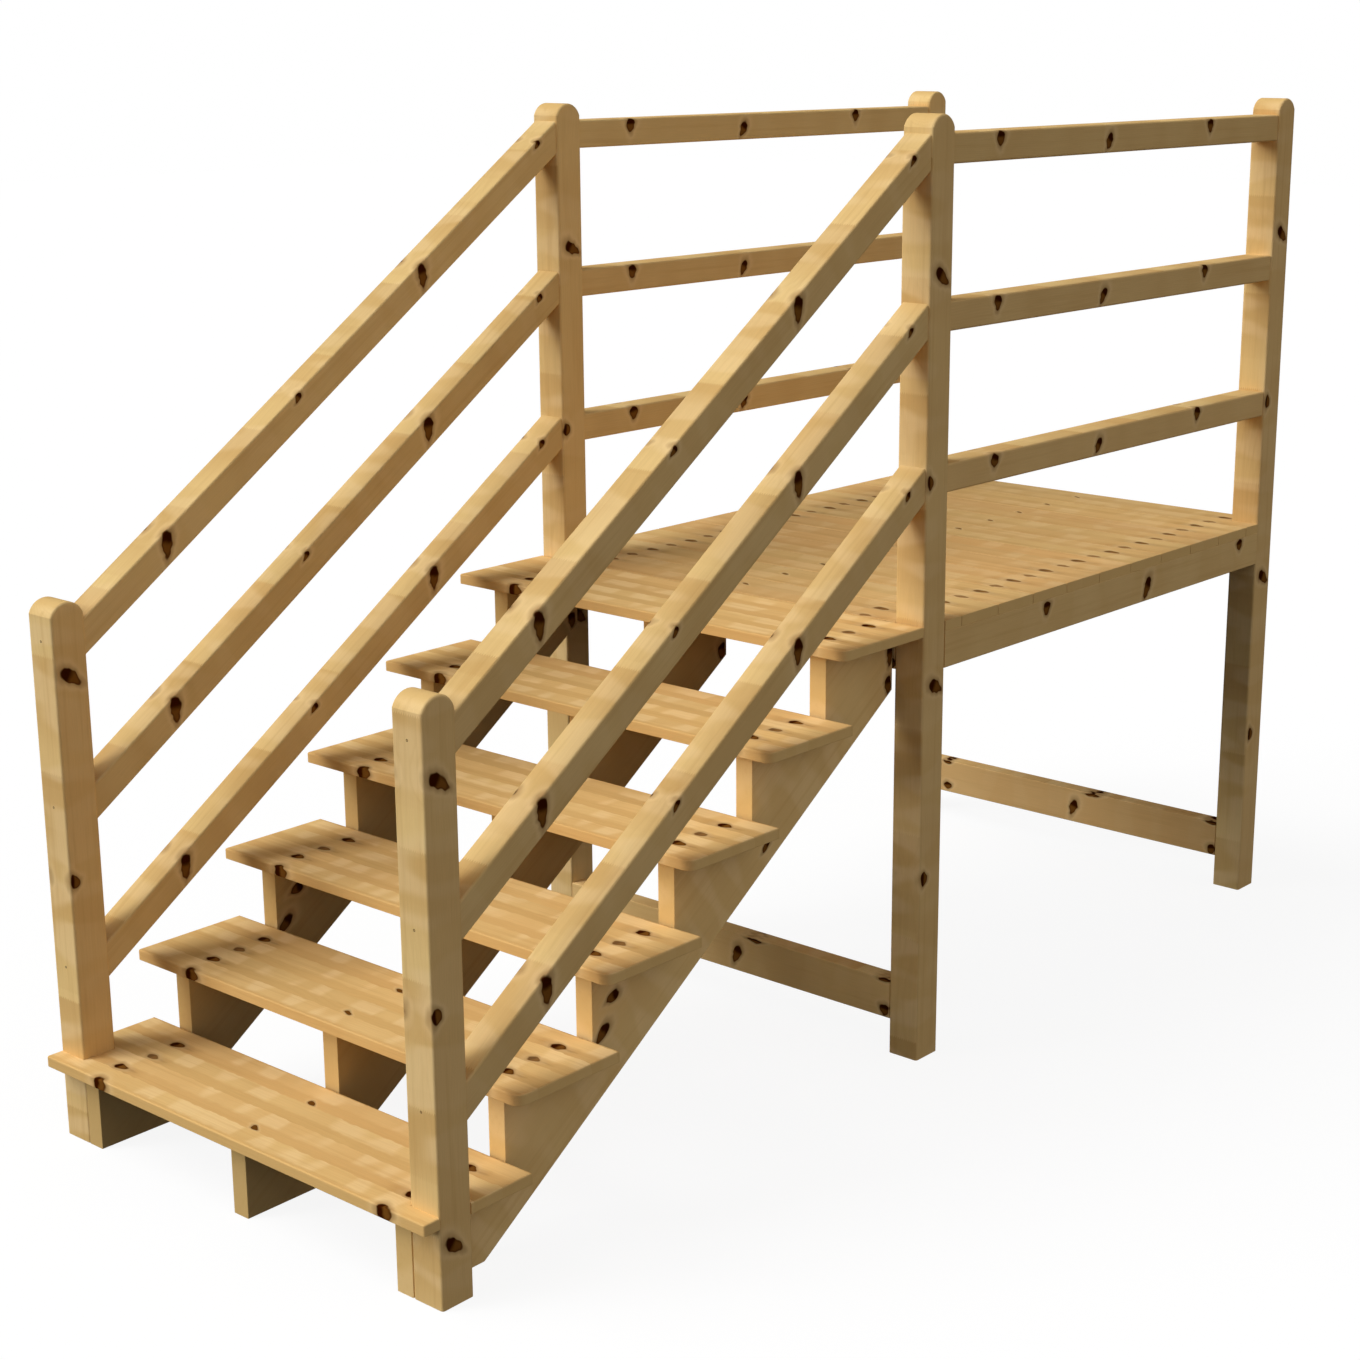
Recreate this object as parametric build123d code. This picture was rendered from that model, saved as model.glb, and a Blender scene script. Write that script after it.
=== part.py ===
"""Wooden deck stairs: three sawtooth stringers, five treads and a railed landing deck."""

import os

from build123d import *

# ---- driving dimensions, all in millimetres -------------------------------------------
RISERS = 6                  # six rises from the ground to the deck
RISE = 168.0                # height of each stringer notch
RUN = 247.0                 # length of each stringer notch
BOARD = 24.0                # thickness of treads and deck boards
NOSING = 38.0               # how far a tread stands ahead of its riser
TREAD_DEPTH = 278.0         # front to back size of a tread
TREAD_CORNER = 25.0         # plan radius of a tread's right front corner
SMALL_CORNER = 5.0          # its left front corner, and both corners of the lowest tread
WIDTH = 1180.0              # over the outer faces of the posts

POST = 80.0                 # square posts
HEAD_RISE = 28.0            # height of the rounded head
NEWEL_TOP = 1182.0          # top of the two front posts
DECK_POST_TOP = 2134.0      # top of the four deck posts
BAY = 1502.0                # front deck post face to back deck post face

STRINGER = 45.0             # stringer thickness
UNDERSIDE_START = 184.0     # where the sloping underside leaves the ground
STRINGER_END_GAP = 8.0      # clear of the deck post behind it

DECK_BOARDS = 11            # boards behind the landing nosing
BOARD_GAP = 2.0             # drainage gap between deck boards

JOIST = 45.0                # joist thickness
JOIST_DEPTH = 85.0          # joist height under the boards
TIE_BOTTOM = 84.0           # underside of the low ties
TIE_DEPTH = 97.0            # height of the low ties
TIE_THICK = 45.0            # thickness of the low ties

RAIL_WIDE = 70.0            # rail size across the stairs
RAIL_DEEP = 65.0            # rail size square to its length
DECK_RAIL_HEIGHTS = (320.5, 674.5, 1029.0)      # rail middles above the deck
STAIR_RAIL_STARTS = (392.5, 746.0, 1100.5)      # rail middles at the newel, above ground
RAIL_NAMES = ("bottom", "middle", "top")

POST_EASE = 6.0             # round on the upright edges and heads of the posts
RAIL_EASE = 5.0             # round on the long edges of the rails
TIMBER_EASE = 2.5           # small round on joists and ties
NOSE_EASE = 3.5             # round on the top edges of the treads
FINE_EASE = 1.5             # small round on deck boards, tread undersides and stringers

# ---- derived sizes --------------------------------------------------------------------
PITCH = RISE / RUN
HALF = WIDTH / 2
INNER = HALF - POST
DECK_TOP = RISERS * RISE + BOARD
DECK_UNDER = RISERS * RISE
DECK_FRONT = RUN * RISERS
DECK_BACK = DECK_FRONT + BAY + POST
BACK_POST_FRONT = DECK_FRONT + BAY
BOARD_PITCH = (DECK_BACK - DECK_FRONT + BOARD_GAP) / DECK_BOARDS
MIDDLE_Y = (DECK_BACK - NOSING) / 2
SIDES = (("left", -1), ("right", 1))


def block(x_from, x_to, y_from, y_to, z_from, z_to):
    """A plain rectangular block between two corners."""
    size = (x_to - x_from, y_to - y_from, z_to - z_from)
    middle = ((x_from + x_to) / 2, (y_from + y_to) / 2, (z_from + z_to) / 2)
    return Pos(*middle) * Box(*size)


def side_profile(points, x_from, x_to):
    """A closed outline in the running and upright directions, extruded across the stairs."""
    outline = make_face(Polyline(*points, close=True))
    return Pos(x_from, 0, 0) * extrude(Plane.YZ * outline, amount=x_to - x_from)


def post(x_mid, y_front, top):
    """A square post with its head rounded from front to back."""
    y_back = y_front + POST
    shoulder = top - HEAD_RISE
    sides = Polyline((y_front, shoulder), (y_front, 0), (y_back, 0), (y_back, shoulder))
    head = ThreePointArc((y_back, shoulder), (y_front + POST / 2, top), (y_front, shoulder))
    outline = make_face(Curve() + [sides, head])
    solid = extrude(Plane.YZ * outline, amount=POST / 2, both=True)
    above_foot = solid.edges().filter_by(lambda edge: edge.center().Z > 1)
    edges = above_foot.filter_by(Axis.X, reverse=True)
    return Pos(x_mid, 0, 0) * fillet(edges, POST_EASE)


def stringer(x_mid):
    """A sawtooth plank: level seats, upright risers, sloping underside, flat foot."""
    end = DECK_FRONT - STRINGER_END_GAP
    points = [(0, 0)]
    for step in range(RISERS):
        points.append((step * RUN, (step + 1) * RISE))
        points.append((min((step + 1) * RUN, end), (step + 1) * RISE))
    points.append((end, (end - UNDERSIDE_START) * PITCH))
    points.append((UNDERSIDE_START, 0))
    solid = side_profile(points, x_mid - STRINGER / 2, x_mid + STRINGER / 2)
    long_way_round = solid.edges().filter_by(Axis.X, reverse=True)
    return fillet(long_way_round, FINE_EASE)


def notched(solid, y_from, y_to):
    """Cut a slot for the posts out of both ends of a board."""
    for side in (-1, 1):
        x_from, x_to = sorted((side * INNER, side * (HALF + 1)))
        solid -= block(x_from, x_to, y_from, y_to, 0, DECK_TOP + 1)
    return solid


def tread(y_front, depth, z_under, left_corner, right_corner):
    """A full width tread with rounded front corners and softened edges."""
    solid = block(-HALF, HALF, y_front, y_front + depth, z_under, z_under + BOARD)
    for place, radius in ((0, left_corner), (-1, right_corner)):
        front_corners = solid.edges().filter_by(Axis.Z).group_by(Axis.Y)[0].sort_by(Axis.X)
        solid = fillet(front_corners[place], radius)
    solid = fillet(solid.faces().sort_by(Axis.Z)[-1].edges(), NOSE_EASE)
    return fillet(solid.faces().sort_by(Axis.Z)[0].edges(), FINE_EASE)


def deck_board(y_from, y_to):
    """A full width deck board with its two long top edges softened."""
    solid = block(-HALF, HALF, y_from, y_to, DECK_UNDER, DECK_TOP)
    long_top_edges = solid.edges().filter_by(Axis.X).group_by(Axis.Z)[-1]
    return fillet(long_top_edges, FINE_EASE)


def stair_rail(side, start_height):
    """A sloping rail between newel and deck post, cut upright at both ends."""
    y_from, y_to = POST, DECK_FRONT
    z_from = start_height
    z_to = start_height + (y_to - y_from) * PITCH
    half = RAIL_DEEP * (1 + PITCH ** 2) ** 0.5 / 2
    points = [(y_from, z_from - half), (y_to, z_to - half), (y_to, z_to + half), (y_from, z_from + half)]
    x_mid = side * (HALF - POST / 2)
    solid = side_profile(points, x_mid - RAIL_WIDE / 2, x_mid + RAIL_WIDE / 2)
    long_edges = [edge for edge in solid.edges() if edge.length > RAIL_WIDE * 3]
    return fillet(long_edges, RAIL_EASE)


def deck_rail(side, height):
    """A level rail between the front and back deck posts of one side."""
    x_mid = side * (HALF - POST / 2)
    z_mid = DECK_TOP + height
    return timber(x_mid - RAIL_WIDE / 2, x_mid + RAIL_WIDE / 2, DECK_FRONT + POST, BACK_POST_FRONT,
                  z_mid - RAIL_DEEP / 2, z_mid + RAIL_DEEP / 2, RAIL_EASE)


def timber(x_from, x_to, y_from, y_to, z_from, z_to, ease=TIMBER_EASE):
    """A straight timber with its four long edges eased."""
    solid = block(x_from, x_to, y_from, y_to, z_from, z_to)
    longest = max(x_to - x_from, y_to - y_from, z_to - z_from)
    long_edges = [edge for edge in solid.edges() if edge.length > longest - 1]
    return fillet(long_edges, ease)


def build_posts(parts):
    """Two newels and four deck posts."""
    rows = (("newel_post", 0, NEWEL_TOP), ("deck_post_front", DECK_FRONT, DECK_POST_TOP),
            ("deck_post_back", BACK_POST_FRONT, DECK_POST_TOP))
    for name, y_front, top in rows:
        for label, side in SIDES:
            parts[f"{name}_{label}"] = post(side * (HALF - POST / 2), y_front, top)


def build_flight(parts):
    """Stringers and treads."""
    outer = INNER - STRINGER / 2
    for name, x_mid in (("left", -outer), ("centre", 0), ("right", outer)):
        parts[f"stringer_{name}"] = stringer(x_mid)
    lowest = tread(-NOSING, TREAD_DEPTH, RISE, SMALL_CORNER, SMALL_CORNER)
    parts["tread_1"] = notched(lowest, 0, POST)
    for step in range(1, RISERS):
        y_front = step * RUN - NOSING
        z_under = (step + 1) * RISE
        if step < RISERS - 1:
            parts[f"tread_{step + 1}"] = tread(y_front, TREAD_DEPTH, z_under, SMALL_CORNER, TREAD_CORNER)
        else:
            depth = DECK_FRONT - BOARD_GAP - y_front
            parts["landing_nosing"] = tread(y_front, depth, z_under, SMALL_CORNER, TREAD_CORNER)


def build_deck(parts):
    """Deck boards, joists under them and the two low ties."""
    for index in range(DECK_BOARDS):
        y_from = DECK_FRONT + index * BOARD_PITCH
        y_to = min(y_from + BOARD_PITCH - BOARD_GAP, DECK_BACK)
        parts[f"deck_board_{index + 1:02d}"] = deck_board(y_from, y_to)
    parts["deck_board_01"] = notched(parts["deck_board_01"], DECK_FRONT - 1, DECK_FRONT + POST)
    last = f"deck_board_{DECK_BOARDS:02d}"
    parts[last] = notched(parts[last], BACK_POST_FRONT, DECK_BACK + 1)
    z_low = DECK_UNDER - JOIST_DEPTH
    inside = HALF - POST
    parts["front_joist"] = timber(-inside, inside, DECK_FRONT, DECK_FRONT + JOIST, z_low, DECK_UNDER)
    parts["back_joist"] = timber(-inside, inside, DECK_BACK - JOIST, DECK_BACK, z_low, DECK_UNDER)
    parts["centre_joist"] = timber(-JOIST / 2, JOIST / 2, DECK_FRONT + JOIST, DECK_BACK - JOIST, z_low,
                                   DECK_UNDER)
    for label, side in SIDES:
        x_from, x_to = sorted((side * HALF, side * (HALF - JOIST)))
        parts[f"side_joist_{label}"] = timber(x_from, x_to, DECK_FRONT + POST, BACK_POST_FRONT, z_low,
                                              DECK_UNDER)
    for name, y_from in (("front_tie", DECK_FRONT), ("back_tie", BACK_POST_FRONT)):
        parts[name] = timber(-inside, inside, y_from, y_from + TIE_THICK, TIE_BOTTOM, TIE_BOTTOM + TIE_DEPTH)


def build_rails(parts):
    """Three sloping and three level rails on each side."""
    for label, side in SIDES:
        for name, start, height in zip(RAIL_NAMES, STAIR_RAIL_STARTS, DECK_RAIL_HEIGHTS):
            parts[f"stair_rail_{label}_{name}"] = stair_rail(side, start)
            parts[f"deck_rail_{label}_{name}"] = deck_rail(side, height)


def main():
    """Build every piece, centre the whole on the origin and write one file each."""
    parts = {}
    build_posts(parts)
    build_flight(parts)
    build_deck(parts)
    build_rails(parts)
    os.makedirs("parts", exist_ok=True)
    for name, solid in parts.items():
        export_step(Pos(0, -MIDDLE_Y, 0) * solid, f"parts/{name}.step")
    print(len(parts), "pieces")


if __name__ == "__main__":
    main()
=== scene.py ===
"""Wooden deck stairs: planed pine on every timber, the fixing screws, a pale floor and soft studio light."""

import math
import random

import bmesh
import bpy
from bpy.props import FloatProperty, FloatVectorProperty, IntProperty, PointerProperty
from mathutils import Euler, Matrix, Vector


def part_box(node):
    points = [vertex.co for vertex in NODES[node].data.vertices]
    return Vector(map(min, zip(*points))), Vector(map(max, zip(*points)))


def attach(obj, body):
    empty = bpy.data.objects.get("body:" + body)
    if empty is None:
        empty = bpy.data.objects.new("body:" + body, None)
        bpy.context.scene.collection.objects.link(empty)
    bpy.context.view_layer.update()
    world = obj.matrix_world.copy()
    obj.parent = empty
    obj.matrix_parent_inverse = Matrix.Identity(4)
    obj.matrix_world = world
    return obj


bl_info = {
    "name": "Wooden Deck Stairs",
    "version": (1, 0, 0),
    "blender": (4, 5, 0),
    "location": "3D View > Sidebar > Deck Stairs",
    "description": "Finishes pine deck stairs: grain and knots, screws, floor, light and camera",
    "category": "Object",
}

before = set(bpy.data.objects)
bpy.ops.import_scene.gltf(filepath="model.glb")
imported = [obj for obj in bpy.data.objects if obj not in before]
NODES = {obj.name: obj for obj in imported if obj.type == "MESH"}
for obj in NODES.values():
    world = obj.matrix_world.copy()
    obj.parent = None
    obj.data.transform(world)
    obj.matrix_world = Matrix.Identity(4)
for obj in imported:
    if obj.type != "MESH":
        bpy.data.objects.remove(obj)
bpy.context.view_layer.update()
MM = 0.001
SIDES = ("left", "right")
RAILS = ("top", "middle", "bottom")


def linear(code):
    """An sRGB hex colour as linear red, green and blue."""
    values = [int(code[place:place + 2], 16) / 255 for place in (0, 2, 4)]
    return tuple(v / 12.92 if v <= 0.04045 else ((v + 0.055) / 1.055) ** 2.4 for v in values)


def colour(label, note, code):
    """A colour the user may change."""
    return FloatVectorProperty(name=label, description=note, default=linear(code), size=3,
                               min=0, max=1, subtype="COLOR")


def length(label, note, millimetres):
    """A size the user may change."""
    return FloatProperty(name=label, description=note, default=millimetres * MM, min=0.0001,
                         unit="LENGTH", precision=4)


# ---- what a user would change ---------------------------------------------------------

class DeckStairsPine(bpy.types.PropertyGroup):
    """Colours and sizes of the planed pine."""
    pale: colour("Pale wood", "Lightest early wood", "EECE8D")
    gold: colour("Golden wood", "Yellower patches of the same board", "D8B171")
    warm: colour("Warm wood", "Staves that lean to pink", "E1AC6F")
    cream: colour("Cream wood", "Light flecks, and the wood some way round a knot", "F5D69E")
    late: colour("Late wood", "The darker line of each yearly ring", "BC8742")
    ends: colour("Sawn ends", "Ends of the boards, evenly toned", "E0BA78")
    halo: colour("Knot surround", "Resin-brown wood round a knot", "8F5E28")
    heart: colour("Knot heart", "Middle of a knot", "784C1C")
    edge: colour("Knot edge", "Head and bark ring of a knot, nearly black", "3A1400")
    ring_width: length("Ring width", "Thickness of one year's growth, drawn a little coarse so it shows", 5.0)
    strip_width: length("Strip width", "Width of the strips glued side by side in treads and boards", 73.0)
    stave_length: length("Stave length", "Length of the staves finger-jointed end to end", 250.0)
    piece_length: length("Patch length", "Length over which the tone of a stave holds", 90.0)
    fibre_width: length("Fibre width", "Width of the fine streaks along the grain", 1.6)
    relief: length("Grain relief", "Height of the fibres that planing leaves standing", 0.08)
    shine: FloatProperty(name="Shine", description="Strength of the reflection, none on planed pine",
                         default=0.0, min=0, max=1, subtype="FACTOR")
    roughness: FloatProperty(name="Roughness", description="Planed and lightly oiled, nearly matt",
                             default=0.62, min=0, max=1, subtype="FACTOR")


class DeckStairsScrews(bpy.types.PropertyGroup):
    """Sizes and colour of the fixing screws."""
    head: length("Head diameter", "Diameter of a countersunk screw head", 5.5)
    proud: length("Head height", "How far the head stands out of the wood", 0.4)
    sides: IntProperty(name="Sides", description="Faces round a screw head", default=24, min=12, max=48)
    metal: colour("Metal", "Yellow passivated zinc", "7A5C30")


class DeckStairsStage(bpy.types.PropertyGroup):
    """Camera, light and floor."""
    eye: FloatVectorProperty(name="Camera place", description="Where the camera stands", size=3,
                             default=(3.634, -4.243, 2.306), subtype="TRANSLATION", unit="LENGTH")
    turn: FloatProperty(name="Camera turn", description="Angle of the view from straight ahead",
                        default=math.radians(40.05), subtype="ANGLE")
    tilt: FloatProperty(name="Camera tilt", description="Angle the camera looks down",
                        default=math.radians(14.84), subtype="ANGLE")
    lens: FloatProperty(name="Lens", description="Focal length in millimetres", default=64.16, min=10)
    shift: FloatVectorProperty(name="Shift", description="How far the view slides right and up, in widths",
                               size=2, default=(-0.0527, -0.0067))
    lamp_turn: FloatProperty(name="Lamp turn", description="Way the light travels, to the right of ahead",
                             default=math.radians(37), subtype="ANGLE")
    low_height: FloatProperty(name="Low lamp height", description="Angle of the low lamp above the floor",
                              default=math.radians(20), subtype="ANGLE")
    low_size: FloatProperty(name="Low lamp softness", description="Apparent width of the low lamp",
                            default=math.radians(22), subtype="ANGLE")
    low_power: FloatProperty(name="Low lamp power", description="Strength of the low lamp", default=1.265,
                             min=0)
    high_height: FloatProperty(name="High lamp height", description="Angle of the high lamp above the floor",
                               default=math.radians(55), subtype="ANGLE")
    high_size: FloatProperty(name="High lamp softness", description="Apparent width of the high lamp",
                             default=math.radians(40), subtype="ANGLE")
    high_power: FloatProperty(name="High lamp power", description="Strength of the high lamp", default=1.69,
                              min=0)
    side_tint: colour("Side fill colour", "White with a trace of violet", "FAF6F9")
    sky: FloatProperty(name="Fill light", description="Strength of the even light all round", default=0.20,
                       min=0, max=1)
    side_fill: FloatProperty(name="Side fill", description="Extra soft light from the right hand side",
                             default=0.655, min=0, max=1)
    floor_size: FloatProperty(name="Floor size", description="Side of the square floor", default=60.0,
                              min=5, unit="LENGTH")


# ---- building nodes -------------------------------------------------------------------

SMOOTH = {"interpolation_type": "SMOOTHSTEP"}
COLOURS = {"data_type": "RGBA"}


def add(tree, kind, inputs=(), out=0, **settings):
    """Add a shader node with its settings and links, and return one of its outputs.

    The inputs are a list for the node's open sockets in their order, or a dict for sockets by
    name. Each is a plain value or the output of another node."""
    made = tree.nodes.new(f"ShaderNode{kind}")
    for field, value in settings.items():
        setattr(made, field, value)
    sockets = [socket for socket in made.inputs if socket.enabled]
    if isinstance(inputs, dict):
        sockets = [made.inputs[name] for name in inputs]
        inputs = inputs.values()
    for socket, value in zip(sockets, inputs):
        if isinstance(value, bpy.types.NodeSocket):
            tree.links.new(value, socket)
        else:
            socket.default_value = value
    results = [socket for socket in made.outputs if socket.enabled]
    return results[out] if results else made


def stretched_noise(tree, place, size, detail=0.0, out=0):
    """Noise whose spots measure about size along each axis: a number, or a colour when out is 1."""
    scaled = add(tree, "VectorMath", [place, [1 / side for side in size]], operation="MULTIPLY")
    return add(tree, "TexNoise", {"Vector": scaled, "Scale": 1.0, "Detail": detail, "Roughness": 0.55}, out)


def random_at(tree, numbers, out=0):
    """What three numbers always draw: a random number, or a random colour when out is 1."""
    return add(tree, "TexWhiteNoise", [add(tree, "CombineXYZ", numbers)], out, noise_dimensions="3D")


def opaque(shade):
    """A colour with full alpha."""
    return (*shade, 1.0)


def grey(level):
    """A neutral colour with full alpha."""
    return (level, level, level, 1.0)


def new_group(name, inputs, outputs):
    """An empty node group with its sockets: its tree and what it is given."""
    tree = bpy.data.node_groups.new(name, "ShaderNodeTree")
    for way, sockets in (("INPUT", inputs), ("OUTPUT", outputs)):
        for label, kind in sockets.items():
            tree.interface.new_socket(label, in_out=way, socket_type=f"NodeSocket{kind}")
    return tree, tree.nodes.new("NodeGroupInput").outputs


def give(tree, values):
    """Send the results of a node group out."""
    result = tree.nodes.new("NodeGroupOutput")
    for label, value in values.items():
        tree.links.new(value, result.inputs[label])
    return tree


# ---- knots ----------------------------------------------------------------------------

KNOT_TAIL, KNOT_HEAD = 0.6, 1.14        # widths of a knot's two ends, as shares of its own width
NO_KNOT = 9.0                           # a distance at which no knot shows
OFF_THE_BOARD = 9.0                     # metres that carry a knot past the end of any board
SIDE_DEPTH = 14                         # half depth of a knot in a side face, in millimetres
THROUGH_TIMBER = 400                    # half depths that take a knot right through, in millimetres
THROUGH_BOARD = 200


def knot_group():
    """One knot, set beside those before it: how far to the nearest, and how near to its dark head.

    Side, Branch and Length are the knot's own directions, each divided by its half size, so
    distance is 1 on its rim. A knot is a drop, broad at its head and slim at its tail."""
    ways = ("Side", "Branch", "Length")
    results = {"Nearest": "Float", "Head": "Float"}
    places = dict.fromkeys(("Place", "Middle", *ways), "Vector")
    tree, given = new_group("knot", {**places, **results}, results)
    near = add(tree, "VectorMath", [given["Place"], given["Middle"]], operation="SUBTRACT")
    side, branch, lengthways = (add(tree, "VectorMath", [near, given[way]], operation="DOT_PRODUCT")
                                for way in ways)
    width = add(tree, "MapRange", [lengthways, -1.0, 1.0, KNOT_TAIL, KNOT_HEAD])
    side, branch = (add(tree, "Math", [way, width], operation="DIVIDE") for way in (side, branch))
    reach = add(tree, "VectorMath", [add(tree, "CombineXYZ", [side, branch, lengthways])], operation="LENGTH")
    nearer = add(tree, "Math", [reach, given["Nearest"]], operation="LESS_THAN")
    nearest = add(tree, "Math", [reach, given["Nearest"]], operation="MINIMUM")
    head = add(tree, "Mix", [nearer, given["Head"], lengthways], data_type="FLOAT")
    return give(tree, {"Nearest": nearest, "Head": head})


def nearest_knot(tree, place, knots):
    """Distance to the nearest of several knots and nearness to its head.

    A knot is its middle and its half sizes in millimetres and its turn in degrees, all in the
    timber's own axes."""
    group = bpy.data.node_groups.get("knot") or knot_group()
    nearest, head = NO_KNOT, 0.0
    for middle, size, turn in knots:
        ways = Euler([math.radians(v) for v in turn]).to_matrix().transposed()
        side, branch, lengthways = (way / (half * MM) for way, half in zip(ways, size))
        nearest = add(tree, "Group", {"Place": place, "Middle": [v * MM for v in middle], "Side": side,
                                      "Branch": branch, "Length": lengthways, "Nearest": nearest,
                                      "Head": head}, node_tree=group)
        head = nearest.node.outputs["Head"]
    return nearest, head


def jitter(dice, knots):
    """The same knots moved and tilted a little, so no two timbers match."""
    moved = []
    for (along, across, upper), size, (roll, tilt, turn) in knots:
        along += dice.uniform(-5, 5)
        upper += dice.uniform(-1.5, 1.5)
        tilt += dice.uniform(-5, 5)
        moved.append(((along, across, upper), size, (roll, tilt, turn)))
    return moved


def side_knot(along, upper, half_width, half_length, tilt=0, face=35):
    """A knot on both side faces of a timber, its head up or forward and leaning along the grain.

    The faces lie face millimetres from the timber's middle."""
    return (along, face, upper), (half_width, SIDE_DEPTH, half_length), (0, tilt, 0)


def front_knot(along, upper, half_width, half_length, tilt=0):
    """A knot right through a timber that lies across the stairs, seen on its front and back."""
    return (along, 0, upper), (half_width, THROUGH_TIMBER, half_length), (0, tilt, 0)


def top_knot(along, across, half_length, half_width, turn=0):
    """A knot right through a board, its head to the left."""
    return (along, across, 0), (THROUGH_BOARD, half_width, half_length), (0, -90, turn)


def edge_knot(along, front):
    """A round knot that the front edge of a board cuts through."""
    return (along, front, 0), (18, 18, 21), (0, -90, 0)


def front_edge(board):
    """Where a board's front edge lies from its middle, in millimetres."""
    low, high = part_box(board)
    return (low.y - high.y) / 2 / MM


def strip_layout(tree, across, first_joint, lowest):
    """Strips side by side: the strip's number, the share across it, the way from its middle in
    metres, 1 on every second strip, and 1 on strips before the lowest one with knots."""
    width = bpy.context.scene.deck_stairs_pine.strip_width
    past_joint = add(tree, "Math", [across, first_joint * MM], operation="SUBTRACT")
    counted = add(tree, "Math", [past_joint, width], operation="DIVIDE")
    strip = add(tree, "Math", [counted], operation="FLOOR")
    share = add(tree, "Math", [counted], operation="FRACT")
    inside = add(tree, "Math", [share, width, -width / 2], operation="MULTIPLY_ADD")
    every_second = add(tree, "Math", [strip, 2.0], operation="FLOORED_MODULO")
    past_lowest = add(tree, "Math", [strip, lowest - 0.5], operation="GREATER_THAN")
    odd = add(tree, "Math", [every_second, past_lowest], operation="MULTIPLY")
    before_lowest = add(tree, "Math", [strip, lowest], operation="LESS_THAN")
    return strip, share, inside, odd, before_lowest


def strip_knots(tree, place, knot, head, seed, first_joint, big, small, trails, lowest=-9, contrast=1.0,
                strength=1.0):
    """Knots that every glued strip carries from the lowest one on, in a band of darker wood.

    Every second strip has fainter knots and lacks the small ones. first_joint is in millimetres
    across the board, and knot and head are those of the board's other knots."""
    along, across, height = add(tree, "SeparateXYZ", [place]).node.outputs
    strip, share, inside, odd, before_lowest = strip_layout(tree, across, first_joint, lowest)

    # Each strip is slid a little along. A strip without knots, and an odd one's small knots, are
    # slid so far that they miss the board.
    slide = random_at(tree, [strip, 3.0, seed])
    slide = add(tree, "Math", [slide, 12 * MM, -6 * MM], operation="MULTIPLY_ADD")
    off_end = add(tree, "Math", [before_lowest, OFF_THE_BOARD], operation="MULTIPLY")
    slid = add(tree, "Math", [along, slide], operation="ADD")
    slid = add(tree, "Math", [slid, off_end], operation="ADD")
    small_slid = add(tree, "Math", [odd, OFF_THE_BOARD, slid], operation="MULTIPLY_ADD")
    spot = add(tree, "CombineXYZ", [slid, inside, height])
    small_spot = add(tree, "CombineXYZ", [small_slid, inside, height])
    big_knot, big_head = nearest_knot(tree, spot, big)
    small_knot, _ = nearest_knot(tree, small_spot, small)
    trail_knot, _ = nearest_knot(tree, spot, trails)

    # The dark band covers the first two fifths of each strip's width. Resin smears over it round
    # each big knot, and trails off behind.
    dark_band = add(tree, "MapRange", [share, 0.32, 0.52, 1.0, 0.0], **SMOOTH)
    band = add(tree, "Math", [dark_band, contrast], operation="MULTIPLY")
    smear = add(tree, "MapRange", [big_knot, 1.0, 5.0, 0.3, 0.0], **SMOOTH)
    smear = add(tree, "Math", [smear, dark_band], operation="MULTIPLY")
    trail = add(tree, "MapRange", [trail_knot, 0.0, 1.1, 0.5, 0.0], **SMOOTH)
    trail = add(tree, "Math", [smear, trail], operation="MAXIMUM")

    smaller = add(tree, "Math", [odd, 0.12, 1.0], operation="MULTIPLY_ADD")
    fainter = add(tree, "Math", [odd, -0.2 * strength, strength], operation="MULTIPLY_ADD")
    strip_knot = add(tree, "Math", [big_knot, small_knot], operation="MINIMUM")
    strip_knot = add(tree, "Math", [strip_knot, smaller], operation="MULTIPLY")
    nearer = add(tree, "Math", [strip_knot, knot], operation="LESS_THAN")
    head = add(tree, "Mix", [nearer, head, big_head], data_type="FLOAT")
    knot = add(tree, "Math", [strip_knot, knot], operation="MINIMUM")
    return knot, head, {"Strip": strip, "Band": band, "Trail": trail, "Knot strength": fainter}


# ---- planed pine ----------------------------------------------------------------------

HALF_FINGER = 3 * MM                    # half the width of one finger of a finger joint
FINGER_LENGTH = 6 * MM
SIDE_FLECKS = 0.35                      # share of its flecks that a side face keeps
HALF_TURNED = 0.7                       # how far a face turned 45 degrees looks sideways


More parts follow.
